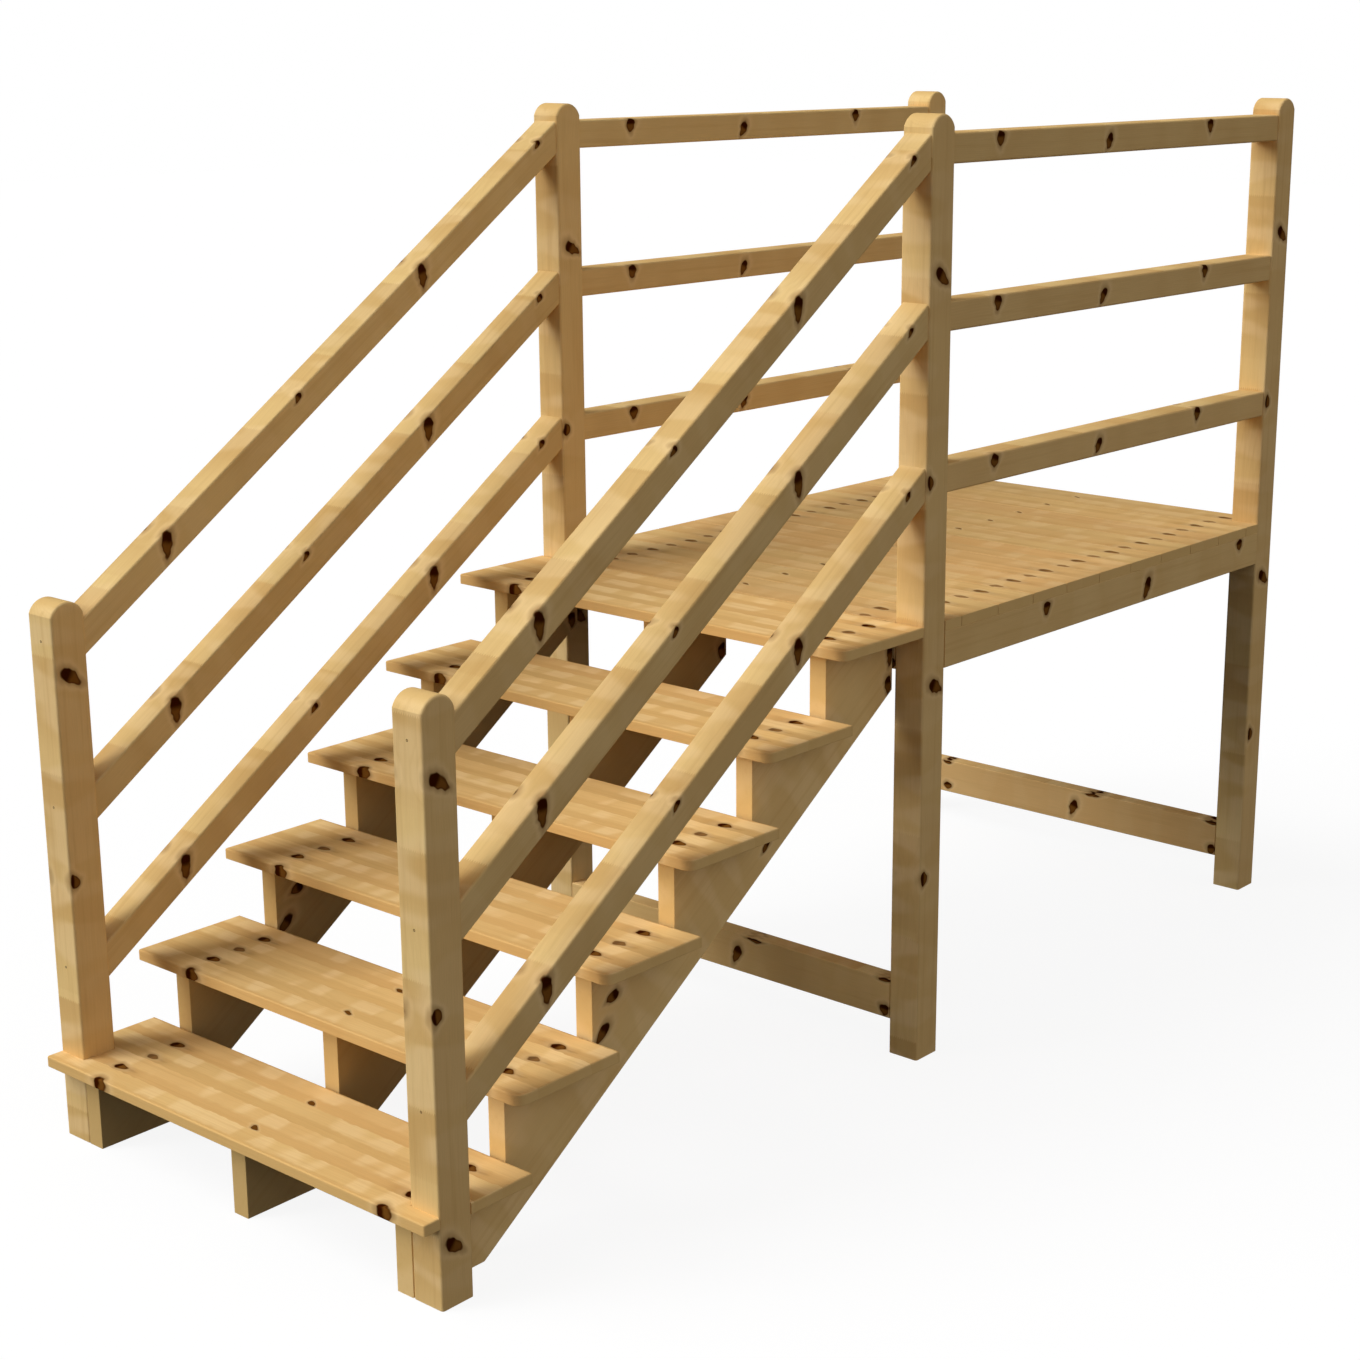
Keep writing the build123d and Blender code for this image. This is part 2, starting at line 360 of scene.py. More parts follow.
def pine_staves(tree, given):
    """Staves that meet end to end in a zigzag of fingers: how ripe, and tone, hue and boldness.

    The wood ripens from pale to golden along each stave, so the tone jumps at every joint, and
    it steps a little between patches. The rest is random for each stave."""
    pine = bpy.context.scene.deck_stairs_pine
    strip, jointed, seed = given["Strip"], given["Jointed"], given["Seed"]
    along, across, _ = add(tree, "SeparateXYZ", [given["Place"]]).node.outputs
    zigzag = add(tree, "Math", [across, HALF_FINGER], operation="PINGPONG")
    joined = add(tree, "Math", [zigzag, FINGER_LENGTH / HALF_FINGER, along], operation="MULTIPLY_ADD")
    joined = add(tree, "Math", [joined, jointed], operation="MULTIPLY")
    start = add(tree, "Math", [random_at(tree, [strip, 0.0, seed]), 5.0], operation="MULTIPLY")
    stave = add(tree, "Math", [joined, 1 / pine.stave_length, start], operation="MULTIPLY_ADD")
    number = add(tree, "Math", [stave], operation="FLOOR")
    chance = random_at(tree, [strip, number, seed], out=1)
    tone, hue, bold = add(tree, "SeparateColor", [chance]).node.outputs

    share = add(tree, "Math", [stave], operation="FRACT")
    ripening = add(tree, "MapRange", [share, 0.0, 1.0], **SMOOTH)
    ripening = add(tree, "Mix", [jointed, 0.5, ripening], data_type="FLOAT")
    patch = add(tree, "Math", [stave, pine.stave_length / pine.piece_length], operation="MULTIPLY")
    change = random_at(tree, [add(tree, "Math", [patch], operation="FLOOR"), strip, seed])
    change = add(tree, "Math", [change, 0.25], operation="MULTIPLY")
    return add(tree, "Math", [ripening, 0.7, change], operation="MULTIPLY_ADD"), tone, hue, bold


def ring_profile(tree, share):
    """Late wood across one yearly ring: it builds up slowly and ends sharply."""
    profile = add(tree, "ValToRGB", [share])
    table = profile.node.color_ramp
    table.interpolation = "EASE"
    for end in table.elements:
        end.color = grey(0.0)
    for position, level in ((0.45, 0.12), (0.86, 1.0)):
        table.elements.new(position).color = grey(level)
    return profile


def pine_rings(tree, given, place, hue, bold):
    """Late wood of the yearly rings, which show as long lines and arches along the grain.

    They are tubes round the heart of the tree, which lies under the timber and wanders along
    it. They bulge round each knot."""
    pine = bpy.context.scene.deck_stairs_pine
    heart_aside = add(tree, "Math", [hue, 80 * MM, -40 * MM], operation="MULTIPLY_ADD")
    heart_below = add(tree, "Math", [bold, -45 * MM, -40 * MM], operation="MULTIPLY_ADD")
    heart = add(tree, "CombineXYZ", [0.0, heart_aside, heart_below])
    from_heart = add(tree, "VectorMath", [given["Place"], heart], operation="SUBTRACT")
    wander = stretched_noise(tree, place, (0.30, 0.08, 0.08), out=1)
    from_heart = add(tree, "VectorMath", [wander, (0.0, 26 * MM, 26 * MM), from_heart],
                     operation="MULTIPLY_ADD")
    flat = add(tree, "VectorMath", [from_heart, (0.0, 1.0, 1.0)], operation="MULTIPLY")
    radius = add(tree, "VectorMath", [flat], operation="LENGTH")
    bulge = add(tree, "MapRange", [given["Knot"], 0.5, 4.0, 9 * MM, 0.0], **SMOOTH)
    radius = add(tree, "Math", [radius, bulge], operation="ADD")
    rings = add(tree, "Math", [radius, 1 / pine.ring_width], operation="MULTIPLY")
    late = ring_profile(tree, add(tree, "Math", [rings], operation="FRACT"))
    boldness = add(tree, "MapRange", [bold, 0.0, 1.0, 0.02, 0.08], **SMOOTH)
    return add(tree, "Math", [late, boldness], operation="MULTIPLY")


def ripe_wood(tree, given, ripe, hue):
    """Wood from pale to golden, in soft patches that run on over the joints between strips.

    The band beside a strip's knots is riper, and some staves lean to a warm pink."""
    pine = bpy.context.scene.deck_stairs_pine
    aside = add(tree, "CombineXYZ", [given["Seed"], 0.0, 0.0])
    place = add(tree, "VectorMath", [given["Place"], aside], operation="ADD")
    patch = stretched_noise(tree, place, (0.12, 0.25, 0.25))
    patch = add(tree, "MapRange", [patch, 0.34, 0.66], **SMOOTH)
    ripe = add(tree, "Math", [patch, 0.2, ripe], operation="MULTIPLY_ADD")
    ripe = add(tree, "Math", [given["Band"], 0.5, ripe], operation="MULTIPLY_ADD")
    wood = add(tree, "Mix", [ripe, opaque(pine.pale), opaque(pine.gold)], **COLOURS)
    warmth = add(tree, "MapRange", [hue, 0.2, 1.0, 0.3, 1.0], **SMOOTH)
    warmth = add(tree, "Math", [warmth, given["Warmth"]], operation="MULTIPLY")
    return add(tree, "Mix", [warmth, wood, opaque(pine.warm)], **COLOURS)


def fleck_share(tree, given, place):
    """Flecks as long as a thumb, which reach right across a strip but not over its dark band."""
    fleck = stretched_noise(tree, place, (60 * MM, 0.16, 0.16))
    fleck = add(tree, "MapRange", [fleck, 0.45, 0.62], **SMOOTH)
    fleck = add(tree, "Math", [fleck, given["Flecks"]], operation="MULTIPLY")
    off_band = add(tree, "Math", [1.0, given["Band"]], operation="SUBTRACT")
    return add(tree, "Math", [fleck, off_band], operation="MULTIPLY")


def pine_wood(tree, given, place, fibre):
    """Colour of the wood between the knots: staves, flecks, rings, streaks and fibres.

    place is the timber's place moved by its seed and its strip, so no two strips match."""
    pine = bpy.context.scene.deck_stairs_pine
    ripe, tone, hue, bold = pine_staves(tree, given)
    wood = ripe_wood(tree, given, ripe, hue)
    wood = add(tree, "Mix", [fleck_share(tree, given, place), wood, opaque(pine.cream)], **COLOURS)

    # Rings, and streaks a finger wide, are thin veils of the late wood's colour.
    rings = pine_rings(tree, given, place, hue, bold)
    wood = add(tree, "Mix", [rings, wood, opaque(pine.late)], **COLOURS)
    streak = stretched_noise(tree, place, (0.42, 13 * MM, 13 * MM), 1.0)
    streak = add(tree, "MapRange", [streak, 0.50, 0.78, 0.0, 0.17], **SMOOTH)
    wood = add(tree, "Mix", [streak, wood, opaque(pine.late)], **COLOURS)

    # Staves differ by a few hundredths in tone, and so do the fine fibres.
    shade = add(tree, "Math", [tone, 0.07, 0.965], operation="MULTIPLY_ADD")
    shade = add(tree, "Math", [shade, given["Tone"]], operation="MULTIPLY")
    fibres = add(tree, "MapRange", [fibre, 0.3, 0.7, 0.975, 1.02], **SMOOTH)
    shade = add(tree, "Math", [shade, fibres], operation="MULTIPLY")
    shade = add(tree, "CombineColor", [shade, shade, shade])
    wood = add(tree, "Mix", [1.0, wood, shade], blend_type="MULTIPLY", **COLOURS)
    sawn_end = add(tree, "MapRange", [given["End grain"], 0.6, 0.95, 0.0, 0.85], **SMOOTH)
    return add(tree, "Mix", [sawn_end, wood, opaque(pine.ends)], **COLOURS)


def pine_knots(tree, given, wood):
    """The wood with its knots, and how far a place is inside one.

    A knot is brown with a nearly black head and rim. Resin-brown wood round it trails off
    along the grain, and the wood further out is paler."""
    pine = bpy.context.scene.deck_stairs_pine
    knot, strength = given["Knot"], given["Knot strength"]
    paler = add(tree, "MapRange", [knot, 1.2, 2.8, 0.4, 0.0], **SMOOTH)
    wood = add(tree, "Mix", [paler, wood, opaque(pine.cream)], **COLOURS)
    surround = add(tree, "MapRange", [knot, 1.0, 1.9, 0.5, 0.0], **SMOOTH)
    surround = add(tree, "Math", [surround, given["Trail"]], operation="MAXIMUM")
    surround = add(tree, "Math", [surround, strength], operation="MULTIPLY")
    wood = add(tree, "Mix", [surround, wood, opaque(pine.halo)], **COLOURS)

    rim = add(tree, "MapRange", [knot, 0.55, 1.0, 0.0, 0.7], **SMOOTH)
    head = add(tree, "MapRange", [given["Head"], -0.1, 0.4], **SMOOTH)
    dark = add(tree, "Math", [rim, head], operation="MAXIMUM")
    dark_share = add(tree, "MapRange", [strength, 0.5, 1.0], **SMOOTH)
    dark = add(tree, "Math", [dark, dark_share], operation="MULTIPLY")
    inside = add(tree, "Mix", [dark, opaque(pine.heart), opaque(pine.edge)], **COLOURS)
    core = add(tree, "MapRange", [knot, 0.88, 1.12, 1.0, 0.0], **SMOOTH)
    core = add(tree, "Math", [core, strength], operation="MULTIPLY")
    return add(tree, "Mix", [core, wood, inside], **COLOURS), core


def pine_figure():
    """The figure of pine, shared by every timber: Place is in metres with x along the grain.

    The fine fibres stand in relief and are a little rougher than the knots."""
    pine = bpy.context.scene.deck_stairs_pine
    numbers = ("Jointed", "Strip", "Band", "Tone", "Warmth", "Flecks", "Knot", "Head", "Knot strength",
               "Trail", "End grain", "Seed")
    tree, given = new_group("pine_figure", {"Place": "Vector", **dict.fromkeys(numbers, "Float")},
                            {"Color": "Color", "Roughness": "Float", "Height": "Float"})
    strip, seed, width = given["Strip"], given["Seed"], pine.fibre_width
    aside = add(tree, "CombineXYZ", [seed, add(tree, "Math", [strip, 0.7], operation="MULTIPLY"), seed])
    place = add(tree, "VectorMath", [given["Place"], aside], operation="ADD")
    fibre = stretched_noise(tree, place, (60 * MM, width, width), 1.0)
    wood, core = pine_knots(tree, given, pine_wood(tree, given, place, fibre))
    rough = add(tree, "Math", [fibre, 0.14, pine.roughness - 0.07], operation="MULTIPLY_ADD")
    rough = add(tree, "Math", [core, -0.08, rough], operation="MULTIPLY_ADD")
    return give(tree, {"Color": wood, "Roughness": rough, "Height": fibre})


def stair_slope():
    """The way up the flight, along the noses of the treads."""
    foot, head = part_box("tread_1")[0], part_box("landing_nosing")[0]
    return Vector((0, head.y - foot.y, head.z - foot.z)).normalized()


def timber_frame(node, grain):
    """Middle of a timber and its turn: x along the grain, z towards its upper or front face."""
    low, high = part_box(node)
    ways = {"x": Vector((1, 0, 0)), "y": Vector((0, 1, 0)), "z": Vector((0, 0, 1)), "slope": stair_slope()}
    along = ways[grain]
    across = Vector((0, 1, 0)) if grain == "x" else Vector((-1, 0, 0))
    turn = Matrix((along, across, along.cross(across))).transposed()
    return (low + high) / 2, turn.to_euler()


def timber_faces(tree, node, grain):
    """The place in a timber's own axes, how much it faces along the grain, and 1 off the sides."""
    middle, turn = timber_frame(node, grain)
    coordinates = tree.nodes.new("ShaderNodeTexCoord").outputs
    place = add(tree, "Mapping", {"Vector": coordinates["Object"], "Location": middle, "Rotation": turn},
                vector_type="TEXTURE")
    facing = add(tree, "Mapping", {"Vector": coordinates["Normal"], "Rotation": turn}, vector_type="TEXTURE")
    facing_along, facing_side, _ = add(tree, "SeparateXYZ", [facing]).node.outputs
    end_grain = add(tree, "Math", [facing_along], operation="ABSOLUTE")
    sideways = add(tree, "Math", [facing_side], operation="ABSOLUTE")
    return place, end_grain, add(tree, "Math", [sideways, HALF_TURNED], operation="LESS_THAN")


def ragged_place(tree, place, seed):
    """The place pushed about by a few millimetres, which gives knots uneven rims."""
    push = Vector((9, 7, 7)) * MM
    moved = add(tree, "VectorMath", [place, (seed, 0.0, 0.0)], operation="ADD")
    noise = stretched_noise(tree, moved, (20 * MM, 12 * MM, 12 * MM), out=1)
    pushed = add(tree, "VectorMath", [noise, push, place], operation="MULTIPLY_ADD")
    return add(tree, "VectorMath", [pushed, push / 2], operation="SUBTRACT")


def both_sides(tree, place):
    """The place with the two side faces folded together, so a knot shows on both."""
    along, across, upper = add(tree, "SeparateXYZ", [place]).node.outputs
    return add(tree, "CombineXYZ", [along, add(tree, "Math", [across], operation="ABSOLUTE"), upper])


def pine_material(node, grain, knots, strips=None, warmth=0.2, flecks=0.25, tone=1.0, jointed=1.0):
    """Planed pine for one timber, lightly oiled.

    It gives the eye pale golden wood that changes tone from stave to stave, with cream flecks,
    fine fibres, dark drop-shaped knots and no gloss. strips holds what strip_knots needs on a
    board glued up from strips. Finger joints show only on the faces that look up, ahead or
    along, and flecks show there more than on the sides."""
    pine = bpy.context.scene.deck_stairs_pine
    figure = bpy.data.node_groups.get("pine_figure") or pine_figure()
    dice = random.Random(node)
    seed = round(dice.uniform(0, 40), 2)
    material = bpy.data.materials.new(f"planed_pine_{node}")
    material.use_nodes = True
    tree = material.node_tree
    tree.nodes.clear()
    place, end_grain, main_face = timber_faces(tree, node, grain)
    joints = add(tree, "Math", [main_face, jointed], operation="MULTIPLY")
    flecks = add(tree, "Math", [main_face, (1 - SIDE_FLECKS) * flecks, SIDE_FLECKS * flecks],
                 operation="MULTIPLY_ADD")

    ragged = ragged_place(tree, place, seed)
    spot = ragged if grain == "x" else both_sides(tree, ragged)
    knot, head = nearest_knot(tree, spot, jitter(dice, knots))
    given = {"Strip": 0.0, "Band": 0.0, "Trail": 0.0, "Knot strength": 1.0}
    if strips:
        knot, head, given = strip_knots(tree, ragged, knot, head, seed, **strips)
    given.update({"Place": place, "Knot": knot, "Head": head, "End grain": end_grain, "Seed": seed,
                  "Tone": tone, "Warmth": warmth, "Flecks": flecks, "Jointed": joints})
    wood = add(tree, "Group", given, node_tree=figure).node.outputs
    bump = add(tree, "Bump", {"Strength": 0.6, "Distance": pine.relief, "Height": wood["Height"]})
    surface = add(tree, "BsdfPrincipled", {"Base Color": wood["Color"], "Roughness": wood["Roughness"],
                                           "IOR": 1.5, "Specular IOR Level": pine.shine, "Normal": bump})
    add(tree, "OutputMaterial", {"Surface": surface})
    return material


def dress(names, grain, knots, **look):
    """Put planed pine on several CAD timbers."""
    for name in names:
        timber = NODES[name]
        timber.data.materials.clear()
        timber.data.materials.append(pine_material(name, grain, knots, **look))


# ---- operators ------------------------------------------------------------------------

class DECKSTAIRS_OT_camera(bpy.types.Operator):
    """Place the camera ahead and to the right of the stairs"""
    bl_idname = "deckstairs.camera"
    bl_label = "Camera"

    def execute(self, context):
        stage = context.scene.deck_stairs_stage
        data = bpy.data.cameras.new("camera")
        data.lens = stage.lens
        data.shift_x, data.shift_y = stage.shift
        camera = bpy.data.objects.new("camera", data)
        camera.location = stage.eye
        camera.rotation_euler = Euler((math.pi / 2 - stage.tilt, 0, stage.turn))
        context.scene.collection.objects.link(camera)
        context.scene.camera = camera
        return {"FINISHED"}


class DECKSTAIRS_OT_stage(bpy.types.Operator):
    """Lay a pale floor and hang two soft lamps with an even fill"""
    bl_idname = "deckstairs.stage"
    bl_label = "Floor and light"

    def execute(self, context):
        stage = context.scene.deck_stairs_stage
        context.scene.view_settings.view_transform = "Standard"
        self.lamp(context, "low_lamp", stage.low_height, stage.low_size, stage.low_power)
        self.lamp(context, "high_lamp", stage.high_height, stage.high_size, stage.high_power)
        self.fill(context, stage.sky, stage.side_fill)
        self.floor(context, stage.floor_size)
        return {"FINISHED"}

    def lamp(self, context, name, height, size, power):
        """A far soft lamp that shines on the stairs from the front left."""
        lamp = bpy.data.lights.new(name, "SUN")
        lamp.energy = power
        lamp.angle = size
        holder = bpy.data.objects.new(name, lamp)
        turn = context.scene.deck_stairs_stage.lamp_turn
        holder.rotation_euler = Euler((math.pi / 2 - height, 0, -turn))
        context.scene.collection.objects.link(holder)

    def seen_directly(self, tree):
        """1 for what the camera, a mirror or glass sees, 0 for light that falls on the wood."""
        path = tree.nodes.new("ShaderNodeLightPath").outputs
        seen = add(tree, "Math", [path["Is Camera Ray"], path["Is Glossy Ray"]], operation="MAXIMUM")
        return add(tree, "Math", [seen, path["Is Transmission Ray"]], operation="MAXIMUM")

    def fill(self, context, level, side_level):
        """Even soft light, stronger from the right, and a background that shows white."""
        world = bpy.data.worlds.new("studio")
        context.scene.world = world
        world.use_nodes = True
        tree = world.node_tree
        tree.nodes.clear()
        toward = tree.nodes.new("ShaderNodeTexCoord").outputs["Generated"]
        rightward = add(tree, "SeparateXYZ", [toward])
        rightward = add(tree, "Math", [rightward, 0.0], operation="MAXIMUM")
        rightward = add(tree, "Math", [rightward, 2.0], operation="POWER")
        strength = add(tree, "Math", [rightward, side_level], operation="MULTIPLY")
        tint = opaque(context.scene.deck_stairs_stage.side_tint)
        side = add(tree, "Background", {"Color": tint, "Strength": strength})
        even = add(tree, "Background", {"Color": grey(1.0), "Strength": level})
        white = add(tree, "Background", {"Color": grey(1.0), "Strength": 1.0})
        soft = add(tree, "AddShader", [even, side])
        both = add(tree, "MixShader", [self.seen_directly(tree), soft, white])
        add(tree, "OutputWorld", {"Surface": both})

    def floor(self, context, side):
        """A matt floor just under the feet, which the object's shadow falls on."""
        mesh = bpy.data.meshes.new("floor")
        half = side / 2
        corners = [(-half, -half, 0), (half, -half, 0), (half, half, 0), (-half, half, 0)]
        mesh.from_pydata(corners, [], [(0, 1, 2, 3)])
        mesh.materials.append(self.white_paint())
        floor = bpy.data.objects.new("floor", mesh)
        floor.location.z = -0.5 * MM
        context.scene.collection.objects.link(floor)

    def white_paint(self):
        """Matt studio paint: white to the eye with a faint shadow, it throws little light back up."""
        material = bpy.data.materials.new("white_painted_studio_floor")
        material.use_nodes = True
        tree = material.node_tree
        tree.nodes.clear()
        own_white, shadow_share, thrown_back = 0.9, 0.12, 0.03
        dull = add(tree, "BsdfDiffuse", {"Color": grey(thrown_back)})
        pale = add(tree, "BsdfDiffuse", {"Color": grey(shadow_share)})
        glow = add(tree, "Emission", {"Color": grey(1.0), "Strength": own_white})
        shown = add(tree, "AddShader", [pale, glow])
        both = add(tree, "MixShader", [self.seen_directly(tree), dull, shown])
        add(tree, "OutputMaterial", {"Surface": both})
        return material


class DECKSTAIRS_OT_posts(bpy.types.Operator):
    """Finish the two newels and the four deck posts in planed pine"""
    bl_idname = "deckstairs.posts"
    bl_label = "Posts"

    def execute(self, context):
        newel_knots = [side_knot(435, 2, 15, 28, 34, 40), side_knot(-7, 27, 18, 12, 0, 40),
                       side_knot(-469, 5, 15, 26, 34, 40)]
        deck_knots = [side_knot(722, -4, 15, 27, 34, 40), side_knot(286, 26, 18, 12, 0, 40),
                      side_knot(-185, -6, 15, 27, 34, 40), side_knot(-622, 21, 18, 12, 0, 40)]
        dress([f"newel_post_{side}" for side in SIDES], "z", newel_knots,
              warmth=0.15, flecks=0.5, tone=1.03)
        dress([f"deck_post_{row}_{side}" for row in ("front", "back") for side in SIDES], "z", deck_knots,
              warmth=0.15, flecks=0.5)
        return {"FINISHED"}


class DECKSTAIRS_OT_stringers(bpy.types.Operator):
    """Finish the three sawtooth stringers in planed pine"""
    bl_idname = "deckstairs.stringers"
    bl_label = "Stringers"

    def execute(self, context):
        knots = [side_knot(-193, 44, 12, 19, 107, 22), side_knot(-257, 5, 13, 25, 80, 22),
                 side_knot(311, -69, 9, 15, 75, 22), side_knot(852, -34, 13, 25, 34, 22),
                 side_knot(810, -86, 14, 20, 34, 22)]
        # Painted light: tone 1.14 makes the right stringer's wood paler so that its open side face looks lit.
        # Its grey flecks and missing warmth are its own duller look.
        dress(["stringer_right"], "slope", knots, warmth=0.0, flecks=0.8, tone=1.14, jointed=0.0)
        # Painted shade: tone 0.76 makes the left and centre stringers' wood darker to stand for the shadow
        # under the treads, where their faces stand.
        dress(["stringer_left", "stringer_centre"], "slope", knots, warmth=0.1, tone=0.76, jointed=0.0)
        return {"FINISHED"}


class DECKSTAIRS_OT_treads(bpy.types.Operator):
    """Finish the treads and the landing nosing in planed, edge-glued pine"""
    bl_idname = "deckstairs.treads"
    bl_label = "Treads"

    def execute(self, context):
        for name in [f"tread_{step}" for step in range(1, 6)] + ["landing_nosing"]:
            front = front_edge(name)
            edge_knots = [edge_knot(-398, front), edge_knot(482, front)]
            strips = {"first_joint": front + 53, "lowest": 0,
                      "big": [top_knot(-418, -20, 18, 13), top_knot(489, -20, 18, 13)],
                      "small": [top_knot(31, -27, 12, 5.5, -25)],
                      "trails": [top_knot(-389, -20, 40, 12), top_knot(518, -20, 40, 12)]}
            dress([name], "x", edge_knots, strips=strips, warmth=0.25, flecks=0.45, tone=1.12, jointed=0.0)
        return {"FINISHED"}


class DECKSTAIRS_OT_deck_boards(bpy.types.Operator):
    """Finish the deck boards in planed, edge-glued pine"""
    bl_idname = "deckstairs.deck_boards"
    bl_label = "Deck boards"

    def execute(self, context):
        names = sorted(name for name in NODES if name.startswith("deck_board"))
        for name in names:
            right = 415 if name == names[0] else 480
            strips = {"first_joint": front_edge(name) + 66, "contrast": 0.5, "strength": 0.8,
                      "big": [top_knot(-424, -20, 19, 11), top_knot(right, -20, 20, 11)],
                      "small": [top_knot(13, -24, 11, 5, -25)],
                      "trails": [top_knot(-394, -20, 40, 12), top_knot(right + 31, -20, 40, 12)]}
            dress([name], "x", [], strips=strips, warmth=0.5, flecks=0.3, tone=0.985, jointed=0.0)
        return {"FINISHED"}


class DECKSTAIRS_OT_joists(bpy.types.Operator):
    """Finish the joists under the deck and the low ties in planed pine"""
    bl_idname = "deckstairs.joists"
    bl_label = "Joists and ties"

    def execute(self, context):
        cross = [front_knot(50, -7, 13, 25, 20), front_knot(104, 43, 26, 5), front_knot(-401, -30, 14, 11),
                 front_knot(-404, 43, 16, 5), front_knot(497, 43, 22, 5), front_knot(497, -32, 14, 14)]
        side = [side_knot(-297, 22, 16, 16, 8, 22), side_knot(152, -10, 15, 30, 24, 22),
                side_knot(613, 25, 16, 15, 0, 22)]
        dress(["front_tie", "back_tie", "front_joist", "back_joist"], "x", cross, warmth=0.5, tone=1.05)
        dress(["side_joist_left", "side_joist_right", "centre_joist"], "y", side)
        return {"FINISHED"}


class DECKSTAIRS_OT_rails(bpy.types.Operator):
    """Finish the sloping and the level rails in planed pine"""
    bl_idname = "deckstairs.rails"
    bl_label = "Rails"

    def execute(self, context):
        sloping = [side_knot(-582, 6, 15, 30, 34), side_knot(-121, 23, 7.5, 13, 72),
                   side_knot(322, 8, 15, 29, 34), side_knot(784, 23, 7.5, 13, 72)]
        level = [side_knot(-530, 15, 16, 17, 5), side_knot(-97, -7, 13, 21, 28),
                 side_knot(371, 17, 15, 17, 5)]
        dress([f"stair_rail_{side}_{row}" for side in SIDES for row in RAILS], "slope", sloping,
              warmth=0.1, flecks=0.4, tone=0.94)
        dress([f"deck_rail_{side}_{row}" for side in SIDES for row in RAILS], "y", level,
              warmth=0.2, flecks=0.1, tone=0.97)
        return {"FINISHED"}


# Rings of a screw head from its buried edge over the dome and into the socket, as shares of its
# radius and of its height.
HEAD_RINGS = ((1.0, -0.3), (1.0, 0.35), (0.93, 0.75), (0.75, 0.95), (0.5, 1.0), (0.46, 0.4), (0.4, -0.2))
SOCKET_SHARE = 0.6                      # rings smaller than this belong to the socket
LOBES = 6
LOBE_DEPTH = 0.16                       # share of the socket's radius


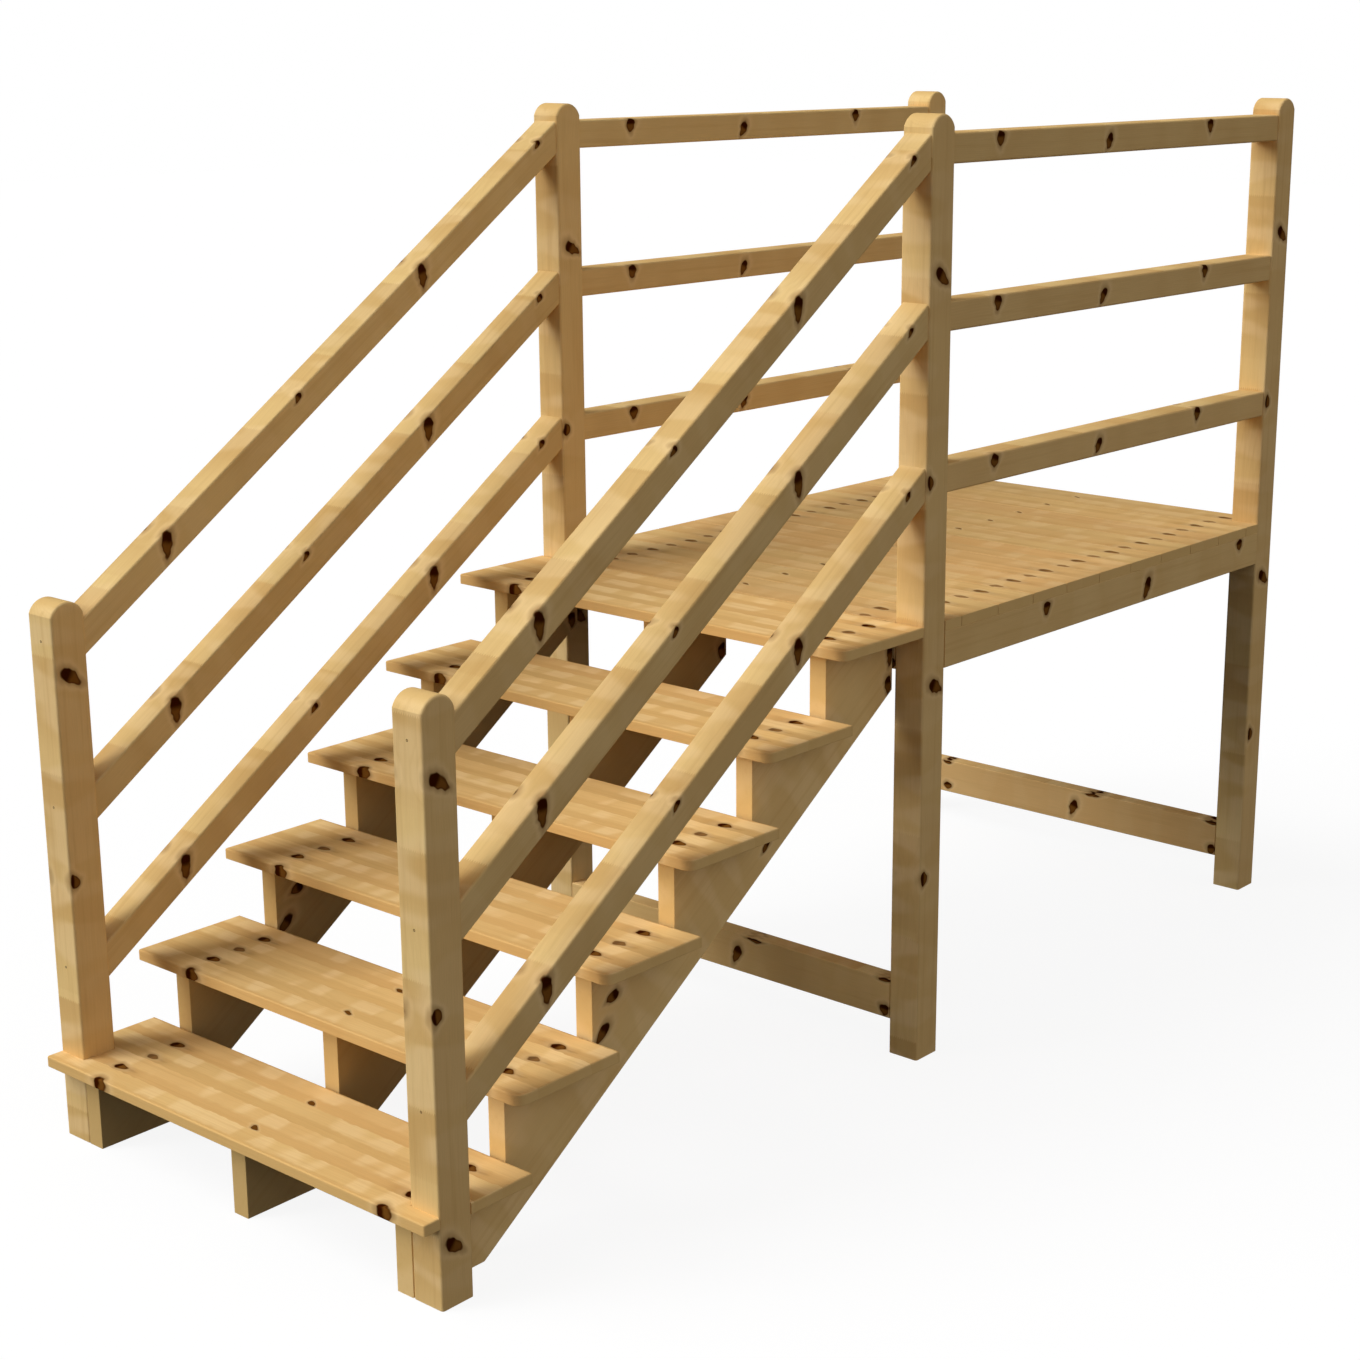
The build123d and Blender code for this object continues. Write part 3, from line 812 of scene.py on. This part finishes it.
class DECKSTAIRS_OT_screws(bpy.types.Operator):
    """Set a screw head in the front newels and the back deck posts at the end of each rail"""
    bl_idname = "deckstairs.screws"
    bl_label = "Fixing screws"

    def execute(self, context):
        steel = self.steel()
        slope = stair_slope()
        for side in SIDES:
            newel_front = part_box(f"newel_post_{side}")[0].y
            deck_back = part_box(f"deck_post_back_{side}")[1].y
            for row in RAILS:
                low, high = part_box(f"stair_rail_{side}_{row}")
                middle = (low + high) / 2
                climb = (high.y - low.y) * slope.z / slope.y
                foot = (middle.x, newel_front, middle.z - climb / 2)
                self.screw(f"screw_newel_{side}_{row}", steel, foot, -1)
                low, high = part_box(f"deck_rail_{side}_{row}")
                end = (middle.x, deck_back, (low.z + high.z) / 2)
                self.screw(f"screw_back_{side}_{row}", steel, end, 1)
        return {"FINISHED"}

    def screw(self, name, steel, place, way):
        """A low domed head with a star socket, facing along y."""
        settings = bpy.context.scene.deck_stairs_screws
        mesh = bpy.data.meshes.new(name)
        build = bmesh.new()
        loops = [self.loop(build, settings, way, *ring) for ring in HEAD_RINGS]
        for outer, inner in zip(loops, loops[1:]):
            for step in range(settings.sides):
                after = (step + 1) % settings.sides
                build.faces.new((outer[step], outer[after], inner[after], inner[step]))
        build.faces.new(loops[-1])
        build.faces.new(list(reversed(loops[0])))
        bmesh.ops.recalc_face_normals(build, faces=build.faces)
        build.to_mesh(mesh)
        build.free()
        mesh.materials.append(steel)
        mesh.shade_smooth()
        screw = bpy.data.objects.new(name, mesh)
        screw.location = place
        bpy.context.scene.collection.objects.link(screw)
        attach(screw, "root")

    def loop(self, build, settings, way, share, height):
        """One ring of a head's points: a circle, or a star in the socket."""
        loop = []
        for step in range(settings.sides):
            angle = math.tau * step / settings.sides
            lobes = 1 + LOBE_DEPTH * math.cos(LOBES * angle) if share < SOCKET_SHARE else 1
            reach = settings.head / 2 * share * lobes
            point = (reach * math.cos(angle), way * settings.proud * height, reach * math.sin(angle))
            loop.append(build.verts.new(point))
        return loop

    def steel(self):
        """Zinc-plated steel, passivated yellow: dull gold-brown to the eye, with an uneven shine."""
        material = bpy.data.materials.new("yellow_zinc_plated_steel")
        material.use_nodes = True
        tree = material.node_tree
        tree.nodes.clear()
        where = tree.nodes.new("ShaderNodeTexCoord").outputs["Object"]
        cloud = stretched_noise(tree, where, (1.2 * MM, 1.2 * MM, 1.2 * MM), 1.0)
        metal = bpy.context.scene.deck_stairs_screws.metal
        darker = [value * 0.55 for value in metal]
        share = add(tree, "MapRange", [cloud, 0.35, 0.7], **SMOOTH)
        shade = add(tree, "Mix", [share, opaque(metal), opaque(darker)], **COLOURS)
        rough = add(tree, "MapRange", [cloud, 0.3, 0.7, 0.3, 0.5], **SMOOTH)
        surface = add(tree, "BsdfPrincipled", {"Base Color": shade, "Metallic": 1.0, "Roughness": rough})
        add(tree, "OutputMaterial", {"Surface": surface})
        return material


class DECKSTAIRS_PT_panel(bpy.types.Panel):
    """Everything that makes up the finished stairs"""
    bl_idname = "DECKSTAIRS_PT_panel"
    bl_label = "Deck Stairs"
    bl_space_type = "VIEW_3D"
    bl_region_type = "UI"
    bl_category = "Deck Stairs"

    def draw(self, context):
        for operator in OPERATORS:
            self.layout.operator(operator.bl_idname)
        for settings in ("deck_stairs_pine", "deck_stairs_screws", "deck_stairs_stage"):
            box = self.layout.box()
            group = getattr(context.scene, settings)
            for name in group.bl_rna.properties.keys():
                if name not in ("rna_type", "name"):
                    box.prop(group, name)


OPERATORS = (DECKSTAIRS_OT_camera, DECKSTAIRS_OT_stage, DECKSTAIRS_OT_posts, DECKSTAIRS_OT_stringers,
             DECKSTAIRS_OT_treads, DECKSTAIRS_OT_deck_boards, DECKSTAIRS_OT_joists, DECKSTAIRS_OT_rails,
             DECKSTAIRS_OT_screws)
GROUPS = {"deck_stairs_pine": DeckStairsPine, "deck_stairs_screws": DeckStairsScrews,
          "deck_stairs_stage": DeckStairsStage}


def register():
    """Add the classes and their settings to Blender."""
    for group in GROUPS.values():
        bpy.utils.register_class(group)
    for name, group in GROUPS.items():
        setattr(bpy.types.Scene, name, PointerProperty(type=group))
    for operator in OPERATORS:
        bpy.utils.register_class(operator)
    bpy.utils.register_class(DECKSTAIRS_PT_panel)


def unregister():
    """Take them away again."""
    bpy.utils.unregister_class(DECKSTAIRS_PT_panel)
    for operator in reversed(OPERATORS):
        bpy.utils.unregister_class(operator)
    for name, group in GROUPS.items():
        delattr(bpy.types.Scene, name)
        bpy.utils.unregister_class(group)


def main():
    """Build everything in order."""
    register()
    for operator in OPERATORS:
        family, action = operator.bl_idname.split(".")
        getattr(getattr(bpy.ops, family), action)()


if __name__ == "__main__":
    main()
